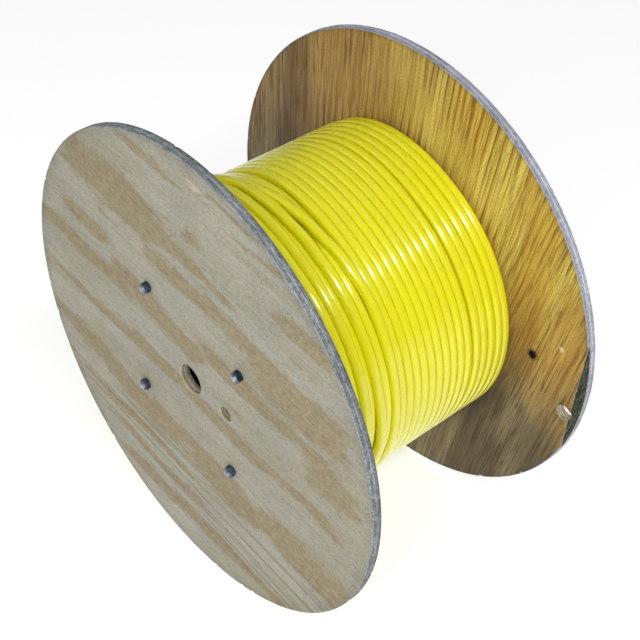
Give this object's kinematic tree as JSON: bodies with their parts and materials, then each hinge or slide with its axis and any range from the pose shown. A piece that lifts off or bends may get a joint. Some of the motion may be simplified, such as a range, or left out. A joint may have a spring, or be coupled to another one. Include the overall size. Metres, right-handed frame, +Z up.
{
  "type": "wire spool",
  "caption": "Round plywood reel on a fibre drum, clamped by tie rods and nuts, wound with yellow round cable; arbor and drive-pin holes.",
  "frame": {"origin": "the point on the floor straight below the axle, midway between the flanges, where the reel stands on its rims", "axes": "+Y along the axle, from the near flange to the far one; +Z up; +X level, across the axle"},
  "size_m": [0.61, 0.359, 0.61],
  "materials": {
    "plywood_outer": "matt weathered softwood plywood, tan grain bands on grey",
    "plywood_inner": "satin honey-coloured pine veneer with dark grain lines",
    "fibre": "matt spiral-wound fibreboard",
    "zinc": "dull zinc-plated steel",
    "jacket": "glossy lemon-yellow cable jacket"
  },
  "bodies": {
    "root": {"near_flange": "plywood_outer", "far_flange": "plywood_inner", "drum": "fibre", "tie_rod_1": "zinc", "tie_rod_2": "zinc", "tie_rod_3": "zinc", "tie_rod_4": "zinc", "near_nut_1": "zinc", "near_nut_2": "zinc", "near_nut_3": "zinc", "near_nut_4": "zinc", "far_nut_1": "zinc", "far_nut_2": "zinc", "far_nut_3": "zinc", "far_nut_4": "zinc", "winding_layer_1": "jacket", "winding_layer_2": "jacket", "winding_layer_3": "jacket", "winding_layer_4": "jacket", "cable_start": "jacket", "cable_end": "jacket", "end_staple": "zinc"}
  },
  "joints": []
}
